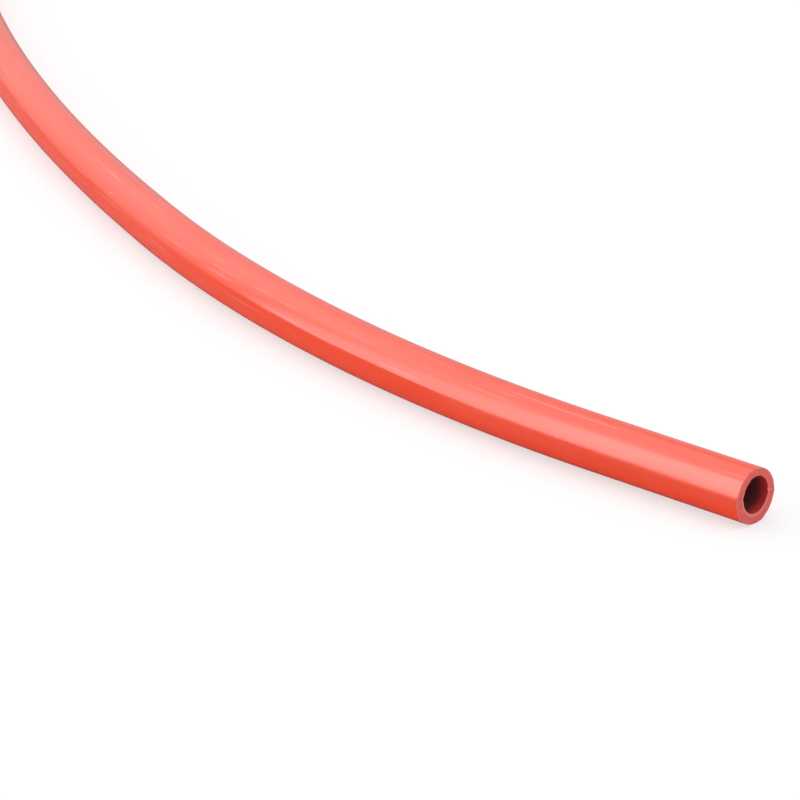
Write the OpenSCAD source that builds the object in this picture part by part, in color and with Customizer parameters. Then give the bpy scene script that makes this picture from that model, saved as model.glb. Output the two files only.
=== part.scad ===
// Length of soft red rubber tubing with a thick wall and a round bore, lying on its side.
// It is one extruded piece, cut square at both ends, and it still holds some of the curl
// of the roll that it was cut from.
// The near end's mouth is at the origin. The axis of the tube lies in the plane z = 0, and
// the far mouth is on the X axis. The tube lies on the plane z = -outside_d / 2, to within
// half of skin_step.

/* [Section] */
// Diameter of the bore
bore_d = 6; // [4:0.5:8]
// Thickness of the wall
wall = 1.5; // [1:0.25:3]

/* [Length and lie] */
// Length along the axis, from one cut face to the other
tube_length = 400; // [320:5:480]
// Length of the straight stretch at each end
end_length = 30; // [20:1:45]
// Radius of the closer bend, next to the near end, at the axis of the tube
close_radius = 295; // [220:5:400]
// Angle that the closer bend turns through
close_turn = 24; // [12:1:32]
// Length of the straight stretch between the two bends
middle_length = 6; // [4:1:20]
// Radius of the wider bend, next to the far end, at the axis of the tube
wide_radius = 560; // [420:10:900]

/* [Hidden] */
rubber_red = [0.80, 0.16, 0.11];
outside_d = bore_d + 2 * wall;

// The wider bend takes up what the other stretches leave of the length.
close_length = close_radius * close_turn * PI / 180;
wide_length = tube_length - 2 * end_length - middle_length - close_length;
wide_turn = wide_length / wide_radius * 180 / PI;

// Where the far mouth would lie if the near end ran along the X axis. The whole tube is
// then turned by its bearing, which brings the far mouth onto the X axis.
full_turn = close_turn + wide_turn;
reach_x = end_length + close_radius * sin(close_turn) + middle_length * cos(close_turn)
    + wide_radius * (sin(full_turn) - sin(close_turn)) + end_length * cos(full_turn);
reach_y = close_radius * (1 - cos(close_turn)) + middle_length * sin(close_turn)
    + wide_radius * (cos(close_turn) - cos(full_turn)) + end_length * sin(full_turn);
bearing = atan2(reach_y, reach_x);

// Each straight stretch runs into the bend beside it by this much.
lap = 1;
// The bends are thicker than the straight stretches by this much, far less than the
// tubing's own tolerance, so that no two skins coincide inside a lap.
skin_step = 0.03;
// The bore's cutter runs past each cut face by this much.
cutter_over = 1;
section_facets = 64;
sweep_facets = 240;

// Round bar of the given length along +X, longer than it by before and after
module straight_bar(d, length, before, after) {
    translate([-before, 0, 0])
        rotate([0, 90, 0])
            cylinder(d = d, h = before + length + after, $fn = section_facets);
}

// Round bar that sets out along +X and bends towards -Y
module bent_bar(d, radius, turn) {
    translate([0, -radius, 0])
        rotate_extrude(angle = -turn, start = 90, $fn = sweep_facets)
            translate([radius, 0])
                circle(d = d + skin_step, $fn = section_facets);
}

// Carries what follows to the end of a bend
module past_bend(radius, turn) {
    translate([0, -radius, 0])
        rotate([0, 0, -turn])
            translate([0, radius, 0])
                children();
}

// Round bar along the whole route of the tube, longer than it by over at each end
module route_bar(d, over) {
    straight_bar(d, end_length, over, lap);
    translate([end_length, 0, 0]) {
        bent_bar(d, close_radius, close_turn);
        past_bend(close_radius, close_turn) {
            straight_bar(d, middle_length, lap, lap);
            translate([middle_length, 0, 0]) {
                bent_bar(d, wide_radius, wide_turn);
                past_bend(wide_radius, wide_turn)
                    straight_bar(d, end_length, lap, over);
            }
        }
    }
}

module tube() {
    color(rubber_red)
        rotate([0, 0, bearing])
            difference() {
                route_bar(outside_d, 0);
                route_bar(bore_d, cutter_over);
            }
}

tube();
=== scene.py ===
import math

import bpy
import numpy as np
from mathutils import Matrix, Vector


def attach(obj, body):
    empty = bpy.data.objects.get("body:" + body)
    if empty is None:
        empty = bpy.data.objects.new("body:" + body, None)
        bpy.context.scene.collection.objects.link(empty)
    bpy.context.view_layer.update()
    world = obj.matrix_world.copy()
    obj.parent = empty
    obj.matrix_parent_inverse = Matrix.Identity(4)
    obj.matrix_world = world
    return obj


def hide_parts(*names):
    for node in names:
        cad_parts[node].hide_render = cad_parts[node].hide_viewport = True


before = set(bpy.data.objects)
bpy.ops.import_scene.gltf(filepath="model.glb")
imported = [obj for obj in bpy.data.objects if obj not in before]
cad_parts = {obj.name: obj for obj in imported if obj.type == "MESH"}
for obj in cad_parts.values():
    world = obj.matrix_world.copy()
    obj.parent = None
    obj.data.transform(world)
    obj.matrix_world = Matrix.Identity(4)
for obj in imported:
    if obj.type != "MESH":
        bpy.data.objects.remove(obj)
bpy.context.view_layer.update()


# Camera
# It looks down through a long lens, from a short way off, at the first quarter of a metre of
# the tube. The rest runs out of the view at the top left.
look_at = Vector((0.0638, 0.0301, -0.0045))
camera_distance = 0.5917
camera_elevation = math.radians(24)
camera_azimuth = math.radians(-114.257)
camera_lens = 163.0
nearest_seen = 0.02
farthest_seen = 40


def round_the_tube(azimuth, elevation, distance):
    """The point that lies this way and this far from what the camera looks at."""
    flat = Vector((math.sin(azimuth), -math.cos(azimuth), 0))
    return look_at + distance * (math.cos(elevation) * flat + math.sin(elevation) * Vector((0, 0, 1)))


def aimed(place, target):
    """The matrix of a lamp or camera at place that faces target, with its top upwards."""
    turn = (target - place).to_track_quat("-Z", "Y")
    return Matrix.Translation(place) @ turn.to_matrix().to_4x4()


lens = bpy.data.cameras.new("camera")
lens.lens = camera_lens
lens.clip_start = nearest_seen
lens.clip_end = farthest_seen
camera = bpy.data.objects.new("camera", lens)
camera.matrix_world = aimed(round_the_tube(camera_azimuth, camera_elevation, camera_distance), look_at)
bpy.context.scene.collection.objects.link(camera)
bpy.context.scene.camera = camera


# Tube
# It is one length of soft red rubber, extruded with a through bore, and cut across with a
# knife at both ends. It lies loose on its side and keeps the curl that it had on the roll.
bore_r = 0.0030
outside_r = 0.0045
tube_length = 0.400
end_length = 0.030
close_radius = 0.295
close_turn = math.radians(24)
middle_length = 0.006
wide_radius = 0.560

close_length = close_radius * close_turn
wide_length = tube_length - 2 * end_length - middle_length - close_length
route = [
    (end_length, 0.0),
    (close_length, close_radius),
    (middle_length, 0.0),
    (wide_length, wide_radius),
    (end_length, 0.0),
]


def walk(stations):
    """Points and headings of the tube's axis this far from the near mouth, setting out along +X."""
    points = np.zeros((len(stations), 2))
    headings = np.zeros(len(stations))
    place, heading, start = np.zeros(2), 0.0, 0.0
    for n, (length, radius) in enumerate(route):
        first, last = n == 0, n == len(route) - 1
        here = ((stations >= start) | first) & ((stations < start + length) | last)
        along = stations[here] - start
        points[here], headings[here] = stretch(place, heading, along, radius)
        end_point, end_heading = stretch(place, heading, np.array([length]), radius)
        place, heading, start = end_point[0], end_heading[0], start + length
    return points, headings


def stretch(place, heading, along, radius):
    """Points and headings along one straight stretch (radius 0), or one bend to the right."""
    turned = along / radius if radius else np.zeros_like(along)
    ahead = radius * np.sin(turned) if radius else along
    aside = -radius * (1 - np.cos(turned)) if radius else np.zeros_like(along)
    forward = np.array([math.cos(heading), math.sin(heading)])
    left = np.array([-math.sin(heading), math.cos(heading)])
    return place + np.outer(ahead, forward) + np.outer(aside, left), heading - turned


# The whole route is turned by its bearing, which brings the far mouth onto the X axis.
far_mouth = walk(np.array([tube_length]))[0][0]
bearing = -math.atan2(far_mouth[1], far_mouth[0])
turn = np.array([[math.cos(bearing), -math.sin(bearing)], [math.sin(bearing), math.cos(bearing)]])

# The closed skin has one ring for each station: out along the outside, over the far cut
# face, back through the bore and over the near cut face. Each ring has one of three finishes.
edge_r = 0.00012
shoulder = 0.00010
outside_step = 0.0013
bore_step = 0.0026
edge_turns = 4
face_steps = 8
ring_points = 128
outer_skin = 0
cut_face = 1
bore_wall = 2


def between_edges(step):
    """Stations from one cut edge to the other, with one more ring close to each."""
    inner = np.linspace(edge_r + shoulder, tube_length - edge_r - shoulder, round(tube_length / step) + 1)
    return [edge_r, *inner.tolist(), tube_length - edge_r]


def skin_profile():
    """Station, radius and finish of each ring, in order."""
    quarter = np.linspace(0, math.pi / 2, edge_turns + 1)[1:]
    outside = [(s, outside_r, outer_skin) for s in between_edges(outside_step)]
    far_rim = [
        (tube_length - edge_r * (1 - math.sin(q)), outside_r - edge_r * (1 - math.cos(q)), cut_face)
        for q in quarter
    ]
    face_radii = np.linspace(outside_r - edge_r, bore_r + edge_r, face_steps + 1)[1:]
    face = [(tube_length, r, cut_face) for r in face_radii]
    far_lip = [
        (tube_length - edge_r * (1 - math.cos(q)), bore_r + edge_r * (1 - math.sin(q)), cut_face)
        for q in quarter
    ]
    far_end = far_rim + face + far_lip
    bore = [(s, bore_r, bore_wall) for s in reversed(between_edges(bore_step)[:-1])]
    near_end = [(tube_length - s, r, finish) for s, r, finish in reversed(far_end)]
    return outside + far_end + bore + near_end


profile = skin_profile()
stations = np.array([s for s, _, _ in profile])[:, None]
radii = np.array([r for _, r, _ in profile])[:, None]
finishes = [finish for _, _, finish in profile]
angles = np.linspace(0, 2 * math.pi, ring_points, endpoint=False)[None, :]
wall_share = (outside_r - radii) / (outside_r - bore_r)

# The die was never quite true. The outside is out of round by two lobes and by three, which
# drift along the tube, and all along it the bore stands a little high and to one side.
wander = 0.00003
two_lobed_drift = 20
three_lobed_drift = -37
three_lobed_start = 1
three_lobed_share = 0.6
bore_aside = -0.00005
bore_lift = 0.00022
two_lobed = np.cos(2 * angles + two_lobed_drift * stations)
three_lobed = np.cos(3 * angles + three_lobed_drift * stations + three_lobed_start)
out_of_round = (two_lobed + three_lobed_share * three_lobed) / (1 + three_lobed_share)
swollen = radii + wander * (1 - wall_share) * out_of_round
side = swollen * np.cos(angles) + bore_aside * wall_share
height = swollen * np.sin(angles) + bore_lift * wall_share

# The knife's cut at the near mouth leans two ways, ripples, and left one nick in the bore's
# lip and one in the rim.
cut_slant = math.tan(math.radians(3.5))
cut_lean = math.tan(math.radians(2.5))
cut_reach = 0.00025
cut_fades_over = 0.016
ripple = 0.00003
ripple_waves = ((1.0, 5, 1.3), (0.7, 11, 0.4), (0.5, 17, 0.0))
ripple_fades_over = 10 * edge_r
nick_depth = 0.00022
nick_width = math.radians(4)
lip_nick_angle = math.radians(181)
rim_nick_angle = math.radians(326)


def nick(angle, closeness):
    """How deep a nick at this angle cuts, at its deepest where closeness is 1."""
    turned = (angles - angle + math.pi) % (2 * math.pi) - math.pi
    return nick_depth * np.exp(-(turned / nick_width) ** 2) * closeness ** 3


def near_mouth(reach):
    """1 at the near mouth, easing to 0 at this distance from it."""
    return np.clip(1 - stations / reach, 0, 1) ** 2


leaning = (cut_slant * side + cut_lean * height - cut_reach) * near_mouth(cut_fades_over)
rippled = ripple * sum(share * np.sin(lobes * angles + start) for share, lobes, start in ripple_waves)
nicked = nick(lip_nick_angle, wall_share) + nick(rim_nick_angle, 1 - wall_share)
slanted = stations + leaning + (rippled + nicked) * near_mouth(ripple_fades_over)
points, headings = walk(slanted.ravel())
across = np.stack([-np.sin(headings), np.cos(headings)], 1) * side.ravel()[:, None]
skin_points = np.column_stack([(points + across) @ turn.T, height.ravel()])

rings = len(profile)
ring_faces = [
    (
        ring * ring_points + spot,
        (ring + 1) % rings * ring_points + spot,
        (ring + 1) % rings * ring_points + (spot + 1) % ring_points,
        ring * ring_points + (spot + 1) % ring_points,
    )
    for ring in range(rings)
    for spot in range(ring_points)
]
skin = bpy.data.meshes.new("tube_skin")
skin.from_pydata(skin_points.tolist(), [], ring_faces)
skin.update()
for face in skin.polygons:
    ring = face.index // ring_points
    both = finishes[ring], finishes[(ring + 1) % rings]
    face.material_index = cut_face if cut_face in both else both[0]
    face.use_smooth = True

# Every point keeps its place on the straight tube, so that what the die drew along the
# rubber can follow the curve.
straight = skin.attributes.new("straight", "FLOAT_VECTOR", "POINT")
straight_points = np.column_stack([slanted.ravel(), side.ravel(), height.ravel()])
straight.data.foreach_set("vector", straight_points.astype(np.float32).ravel())


def new_material(name):
    """A material, its tree of nodes and its shader."""
    made = bpy.data.materials.new(name)
    made.use_nodes = True
    return made, made.node_tree, made.node_tree.nodes["Principled BSDF"]


def straight_place(tree):
    """Each point's place on the straight tube, in metres."""
    place = tree.nodes.new("ShaderNodeAttribute")
    place.attribute_name = "straight"
    return place.outputs["Vector"]


def on_straight_tube(tree, along, across):
    """Places on the straight tube, with this many cells to the metre along it and across it."""
    cells = tree.nodes.new("ShaderNodeVectorMath")
    cells.operation = "MULTIPLY"
    cells.inputs[1].default_value = (along, across, across)
    tree.links.new(straight_place(tree), cells.inputs[0])
    return cells.outputs[0]


def curled(tree, where, curls, bend):
    """Places pushed about by noise with so many curls to the metre, so that marks there bend."""
    noise = tree.nodes.new("ShaderNodeTexNoise")
    noise.inputs["Scale"].default_value = curls
    tree.links.new(straight_place(tree), noise.inputs["Vector"])
    pushed = tree.nodes.new("ShaderNodeVectorMath")
    pushed.operation = "MULTIPLY_ADD"
    pushed.inputs[1].default_value = (bend, bend, bend)
    tree.links.new(noise.outputs["Color"], pushed.inputs[0])
    tree.links.new(where, pushed.inputs[2])
    return pushed.outputs[0]


def parts_of(tree, vector):
    """The X, Y and Z of a vector."""
    parts = tree.nodes.new("ShaderNodeSeparateXYZ")
    tree.links.new(vector, parts.inputs[0])
    return parts.outputs


def length_of(tree, vector):
    """The length of a vector."""
    measured = tree.nodes.new("ShaderNodeVectorMath")
    measured.operation = "LENGTH"
    tree.links.new(vector, measured.inputs[0])
    return measured.outputs["Value"]


def clouds(tree, where, detail=2.0, low=0.3, high=0.7):
    """Soft clouds from 0 to 1, one to a cell."""
    noise = tree.nodes.new("ShaderNodeTexNoise")
    noise.inputs["Scale"].default_value = 1.0
    noise.inputs["Detail"].default_value = detail
    tree.links.new(where, noise.inputs["Vector"])
    return eased(tree, noise.outputs["Fac"], low, high)


def flecks(tree, where, size):
    """Small spots of about this share of a cell, 1 inside each."""
    cells = tree.nodes.new("ShaderNodeTexVoronoi")
    cells.inputs["Scale"].default_value = 1.0
    tree.links.new(where, cells.inputs["Vector"])
    return eased(tree, cells.outputs["Distance"], size, size / 2)


def eased(tree, value, low, high, to_low=0.0, to_high=1.0, way="SMOOTHSTEP"):
    """A value carried from one range to another, smoothly unless the way says otherwise."""
    scale = tree.nodes.new("ShaderNodeMapRange")
    scale.interpolation_type = way
    scale.inputs["From Min"].default_value = low
    scale.inputs["From Max"].default_value = high
    scale.inputs["To Min"].default_value = to_low
    scale.inputs["To Max"].default_value = to_high
    tree.links.new(value, scale.inputs["Value"])
    return scale.outputs["Result"]


def worked(tree, operation, first, second=0.0):
    """What one sum makes of two values, or of a value and a number."""
    total = tree.nodes.new("ShaderNodeMath")
    total.operation = operation
    for socket, value in zip(total.inputs, (first, second)):
        if isinstance(value, float):
            socket.default_value = value
        else:
            tree.links.new(value, socket)
    return total.outputs[0]


def tinted(tree, under, over, share, most=1.0):
    """A colour with another laid over it where share is high, this much of it at most."""
    mix = tree.nodes.new("ShaderNodeMix")
    mix.data_type = "RGBA"
    under_socket, over_socket, mixed_socket = mix.inputs[6], mix.inputs[7], mix.outputs[2]
    tree.links.new(worked(tree, "MULTIPLY", share, most), mix.inputs["Factor"])
    for socket, colour in ((under_socket, under), (over_socket, over)):
        if isinstance(colour, tuple):
            socket.default_value = (*colour, 1)
        else:
            tree.links.new(colour, socket)
    return mixed_socket


def raised(tree, height, depth, under=None):
    """The surface with this height, of so many metres from 0 to 1, on top of what is under it."""
    bump = tree.nodes.new("ShaderNodeBump")
    bump.inputs["Distance"].default_value = depth
    tree.links.new(height, bump.inputs["Height"])
    if under is not None:
        tree.links.new(under, bump.inputs["Normal"])
    return bump.outputs["Normal"]


dust_from = -0.3 * outside_r
dust_full = 0.2 * outside_r


def upper_side(tree):
    """1 on the upper side of the tube, where dust settles, and 0 on the lower."""
    return eased(tree, parts_of(tree, straight_place(tree))["Z"], dust_from, dust_full)


def red_skin():
    """Smooth red rubber with a soft gloss, faint die lines, a little bloom, dust and hair scuffs."""
    plain_red = (0.88, 0.055, 0.012)
    bloom_red = (0.88, 0.090, 0.042)
    wisp_red = (0.58, 0.025, 0.008)
    streak_pink = (0.92, 0.24, 0.19)
    hair_pink = (0.90, 0.42, 0.36)
    dust_pink = (0.94, 0.70, 0.64)
    plain_rough = 0.15
    bloom_rough = 0.21
    lines_roughen = 0.03
    dust_roughens = 0.4
    swell_height = 0.00009
    line_height = 0.000004
    made, tree, shader = new_material("red_skin")
    bloom = clouds(tree, on_straight_tube(tree, along=22, across=170), detail=3.0)
    patches = clouds(tree, on_straight_tube(tree, along=18, across=130), detail=1.0, low=0.45, high=0.65)
    wisps = clouds(tree, on_straight_tube(tree, along=35, across=1900), low=0.56, high=0.70)
    wisps = worked(tree, "MULTIPLY", wisps, patches)
    streaks = clouds(tree, on_straight_tube(tree, along=50, across=1500), low=0.60, high=0.75)
    streaks = worked(tree, "MULTIPLY", streaks, upper_side(tree))
    lines = clouds(tree, on_straight_tube(tree, along=4, across=1500), low=0.2, high=0.8)
    swell = clouds(tree, on_straight_tube(tree, along=38, across=240), detail=1.0, low=0.0, high=1.0)
    dust = flecks(tree, on_straight_tube(tree, along=330, across=330), size=0.031)
    dust = worked(tree, "MULTIPLY", dust, upper_side(tree))
    hairs = curled(tree, on_straight_tube(tree, along=70, across=560), curls=260, bend=0.7)
    hairs = flecks(tree, hairs, size=0.06)
    colour = tinted(tree, plain_red, bloom_red, bloom, most=0.45)
    colour = tinted(tree, colour, wisp_red, wisps, most=0.4)
    colour = tinted(tree, colour, streak_pink, streaks, most=0.35)
    colour = tinted(tree, colour, hair_pink, hairs, most=0.35)
    colour = tinted(tree, colour, dust_pink, dust, most=0.55)
    tree.links.new(colour, shader.inputs["Base Color"])
    rough = eased(tree, bloom, 0.0, 1.0, plain_rough, bloom_rough)
    rough = worked(tree, "ADD", rough, worked(tree, "MULTIPLY", lines, lines_roughen))
    rough = worked(tree, "ADD", rough, worked(tree, "MULTIPLY", dust, dust_roughens))
    tree.links.new(rough, shader.inputs["Roughness"])
    shader.inputs["IOR"].default_value = 1.5
    surface = raised(tree, swell, swell_height)
    surface = raised(tree, lines, line_height, surface)
    tree.links.new(surface, shader.inputs["Normal"])
    return made


def cut_rubber():
    """Matt rubber where the knife went through: drag lines, crumbs, a torn line, a paler rim and lip."""
    cut_red = (0.77, 0.115, 0.100)
    crumb_red = (0.68, 0.078, 0.066)
    patch_pink = (0.80, 0.160, 0.150)
    rim_pink = (0.84, 0.22, 0.19)
    lip_pink = (0.86, 0.27, 0.23)
    torn_pink = (0.93, 0.50, 0.42)
    drag_angle = math.radians(28)
    drag_cells = (1, 9000, 500)
    torn_core = 0.00003
    torn_edge = 0.00011
    crumb_height = 0.00004
    drag_height = 0.00003
    made, tree, shader = new_material("cut_rubber")
    crumbs = clouds(tree, on_straight_tube(tree, along=2600, across=2600), detail=4.0)
    patches = clouds(tree, on_straight_tube(tree, along=700, across=700))
    turned = tree.nodes.new("ShaderNodeMapping")
    turned.inputs["Rotation"].default_value = (drag_angle, 0, 0)
    turned.inputs["Scale"].default_value = drag_cells
    tree.links.new(straight_place(tree), turned.inputs["Vector"])
    drag = clouds(tree, turned.outputs[0], low=0.2, high=0.8)
    dust = flecks(tree, on_straight_tube(tree, along=1500, across=1500), size=0.10)
    from_axis = length_of(tree, on_straight_tube(tree, along=0, across=1))
    rim = eased(tree, from_axis, outside_r - 2.5 * edge_r, outside_r - 0.5 * edge_r)
    lip = eased(tree, from_axis, bore_r + 3.0 * edge_r, bore_r + 1.0 * edge_r)
    place = parts_of(tree, straight_place(tree))
    past_lip = eased(tree, place["Y"], -bore_r, -bore_r - edge_r)
    short_of_rim = eased(tree, place["Y"], -outside_r + 3 * edge_r, -outside_r + 6 * edge_r)
    torn = eased(tree, worked(tree, "ABSOLUTE", place["Z"]), torn_edge, torn_core)
    torn = worked(tree, "MULTIPLY", torn, past_lip)
    torn = worked(tree, "MULTIPLY", torn, short_of_rim)
    colour = tinted(tree, cut_red, crumb_red, crumbs, most=0.75)
    colour = tinted(tree, colour, patch_pink, patches, most=0.5)
    colour = tinted(tree, colour, rim_pink, rim, most=0.3)
    colour = tinted(tree, colour, lip_pink, lip, most=0.55)
    colour = tinted(tree, colour, torn_pink, worked(tree, "MAXIMUM", dust, torn), most=0.45)
    tree.links.new(colour, shader.inputs["Base Color"])
    shader.inputs["Roughness"].default_value = 0.78
    surface = raised(tree, crumbs, crumb_height)
    surface = raised(tree, drag, drag_height, surface)
    tree.links.new(surface, shader.inputs["Normal"])
    return made


def bore_rubber():
    """Rubber of the bore's wall, drawn lengthwise by the die's pin, red at the mouths, with painted shade
    that darkens it deeper inside.
    """
    mouth_red = (0.66, 0.045, 0.035)
    bloom_red = (0.56, 0.034, 0.026)
    # Painted shade: the dark colour that the bore's wall fades to deeper in.
    painted_shade_red = (0.17, 0.040, 0.042)
    mouth_depth = 0.0017
    line_height = 0.000012
    half_length = tube_length / 2
    made, tree, shader = new_material("bore_rubber")
    lines = clouds(tree, on_straight_tube(tree, along=6, across=1800), low=0.2, high=0.8)
    bloom = clouds(tree, on_straight_tube(tree, along=60, across=400))
    along = parts_of(tree, straight_place(tree))["X"]
    from_middle = worked(tree, "ABSOLUTE", worked(tree, "SUBTRACT", along, half_length))
    # Painted shade: over the first 1.7 mm in from each mouth the bore goes from red to near black, standing
    # in for the shade deep in the bore.
    inside = eased(tree, from_middle, half_length - mouth_depth, half_length, 1.0, 0.0)
    colour = tinted(tree, mouth_red, bloom_red, bloom)
    colour = tinted(tree, colour, painted_shade_red, inside)
    tree.links.new(colour, shader.inputs["Base Color"])
    shader.inputs["Roughness"].default_value = 0.42
    tree.links.new(raised(tree, lines, line_height), shader.inputs["Normal"])
    return made


for material in (red_skin(), cut_rubber(), bore_rubber()):
    skin.materials.append(material)
tube = bpy.data.objects.new("tube_rubber", skin)
bpy.context.scene.collection.objects.link(tube)
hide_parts("tube")
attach(tube, "root")

axis_step = 0.004
axis_points = walk(np.linspace(0, tube_length, round(tube_length / axis_step) + 1))[0] @ turn.T


# Floor
# It is a plain white sheet that the tube lies on. It keeps a faint shadow, and far from the
# tube it fades into the white room.
floor_z = -outside_r
floor_half = 8.0
floor_corners = [(x * floor_half, y * floor_half, floor_z) for x, y in ((-1, -1), (1, -1), (1, 1), (-1, 1))]
floor_mesh = bpy.data.meshes.new("floor")
floor_mesh.from_pydata(floor_corners, [], [(0, 1, 2, 3)])
floor = bpy.data.objects.new("floor", floor_mesh)
bpy.context.scene.collection.objects.link(floor)


def kinds_of_ray(tree):
    """1 for the camera's own rays, and 1 for those that gloss and glass send out."""
    ray = tree.nodes.new("ShaderNodeLightPath").outputs
    return ray["Is Camera Ray"], worked(tree, "MAXIMUM", ray["Is Glossy Ray"], ray["Is Transmission Ray"])


def white_sheet():
    """Matt white, whitest to the camera and dimmer in gloss. Far off it glows to them instead, plain
    white to the camera and a little less in gloss."""
    bounce_white = (0.94, 0.94, 0.94)
    gloss_white = (0.42, 0.42, 0.42)
    seen_white = (0.99, 0.99, 1.0)
    glow_from = 0.22
    glow_full = 0.8
    least_glow_seen = 0.62
    glow_in_gloss = 0.72
    made, tree, shader = new_material("white_sheet")
    camera_ray, gloss_ray = kinds_of_ray(tree)
    colour = tinted(tree, bounce_white, gloss_white, gloss_ray)
    colour = tinted(tree, colour, seen_white, camera_ray)
    tree.links.new(colour, shader.inputs["Base Color"])
    shader.inputs["Roughness"].default_value = 0.9
    shader.inputs["Specular IOR Level"].default_value = 0.0
    from_near_mouth = length_of(tree, tree.nodes.new("ShaderNodeTexCoord").outputs["Object"])
    glow_share = eased(tree, from_near_mouth, glow_from, glow_full)
    least_share = worked(tree, "MULTIPLY", camera_ray, least_glow_seen)
    glow_share = worked(tree, "MAXIMUM", glow_share, least_share)
    glow_share = worked(tree, "MULTIPLY", glow_share, worked(tree, "MAXIMUM", camera_ray, gloss_ray))
    glow = tree.nodes.new("ShaderNodeEmission")
    tree.links.new(eased(tree, camera_ray, 0.0, 1.0, glow_in_gloss, 1.0), glow.inputs["Strength"])
    blend = tree.nodes.new("ShaderNodeMixShader")
    for source, socket in zip((glow_share, shader.outputs[0], glow.outputs[0]), blend.inputs):
        tree.links.new(source, socket)
    tree.links.new(blend.outputs[0], tree.nodes["Material Output"].inputs["Surface"])
    return made


floor_mesh.materials.append(white_sheet())


# Lights
# They are a tent of white panels in a white room: a bright soft box and a paler screen at the
# left, a lit ceiling and a lit back. A plain fill at the right lights the cut face.
shine_gap = 0.005
tent_height = 1.15
tent_left = -0.8
tent_right = 0.8
tent_front = -0.6
tent_back = 1.6
screen_from = 0.25
back_from = 0.15
back_to = 0.1


def from_camera(right, away, up):
    """The point this far to the right of what the camera looks at, beyond it and above the floor."""
    facing = Vector((-math.sin(camera_azimuth), math.cos(camera_azimuth), 0))
    return look_at + away * facing + right * Vector((facing.y, -facing.x, 0)) + up * Vector((0, 0, 1))


def panel(name, place, faces, width, height, radiance):
    """A flat lamp that faces a point and is everywhere this bright."""
    lamp = bpy.data.lights.new(name, "AREA")
    lamp.shape = "RECTANGLE"
    lamp.size = width
    lamp.size_y = height
    lamp.energy = radiance * math.pi * width * height
    box = bpy.data.objects.new(name, lamp)
    box.matrix_world = aimed(place, faces)
    bpy.context.scene.collection.objects.link(box)
    return box


def soft_box(name, place, faces, width, height, level, lower_shine, upper_shine):
    """Two panels that face a point. One lights things to this level, and gloss mirrors the other, whose
    shine is given for its lower and its upper corners, the ones on its own left first."""
    light = panel(name + "_light", place, faces, width, height, level)
    light.visible_glossy = False
    ahead = shine_gap * (faces - place).normalized()
    shine = panel(name + "_shine", place + ahead, faces, width, height, 1.0)
    shine.visible_diffuse = False
    shine.data.use_nodes = True
    tree = shine.data.node_tree
    spot = parts_of(tree, tree.nodes.new("ShaderNodeNewGeometry").outputs["Parametric"])
    blend = tree.nodes.new("ShaderNodeMix")
    tree.links.new(spot["Y"], blend.inputs["Factor"])
    for socket, (left, right) in (("A", lower_shine), ("B", upper_shine)):
        tree.links.new(eased(tree, spot["X"], 0.0, 1.0, left, right, "LINEAR"), blend.inputs[socket])
    tree.links.new(blend.outputs["Result"], tree.nodes["Emission"].inputs["Strength"])


def left_wall(near, far):
    """The middle of the tent's left wall between these two distances, and the point that it faces."""
    return [from_camera(right, (near + far) / 2, tent_height / 2) for right in (tent_left, 0)]


soft_box("left_box", *left_wall(tent_front, screen_from), screen_from - tent_front, tent_height,
         level=1.15, lower_shine=(3.4, 5.0), upper_shine=(2.0, 13.0))
soft_box("left_screen", *left_wall(screen_from, tent_back), tent_back - screen_from, tent_height,
         level=0.6, lower_shine=(0.0, 0.3), upper_shine=(0.9, 3.7))

# A lamp that faces straight down turns its sides to the world's axes. The ceiling leans a
# little, so that they follow the tent instead.
ceiling_lean = 0.01
ceiling_away = (tent_front + tent_back) / 2
soft_box("ceiling", from_camera(0, ceiling_away - ceiling_lean, tent_height), from_camera(0, ceiling_away, 0),
         tent_right - tent_left, tent_back - tent_front,
         level=0.85, lower_shine=(3.6, 1.9), upper_shine=(1.4, 0.0))

back_right = (tent_left + back_to) / 2
back_up = (back_from + tent_height) / 2
soft_box("back", from_camera(back_right, tent_back, back_up), from_camera(back_right, 0, back_up),
         back_to - tent_left, tent_height - back_from,
         level=0.3, lower_shine=(0.0, 0.0), upper_shine=(0.5, 1.4))

fill_away = -0.3
fill_up = 0.5
fill_size = 0.9
soft_box("right_fill", from_camera(tent_right, fill_away, fill_up), look_at, fill_size, fill_size,
         level=0.8, lower_shine=(0.0, 0.0), upper_shine=(0.0, 0.0))


def white_room():
    """White to the camera, a little dimmer in gloss, and dim and even for the rest."""
    plain_light = 0.48
    light_in_gloss = 0.78
    world = bpy.data.worlds.new("white_room")
    world.use_nodes = True
    tree = world.node_tree
    camera_ray, gloss_ray = kinds_of_ray(tree)
    brightness = eased(tree, gloss_ray, 0.0, 1.0, plain_light, light_in_gloss)
    brightness = worked(tree, "MAXIMUM", brightness, camera_ray)
    tree.nodes["Background"].inputs["Color"].default_value = (1, 1, 1, 1)
    tree.links.new(brightness, tree.nodes["Background"].inputs["Strength"])
    return world


bpy.context.scene.world = white_room()
bpy.context.scene.view_settings.view_transform = "Standard"
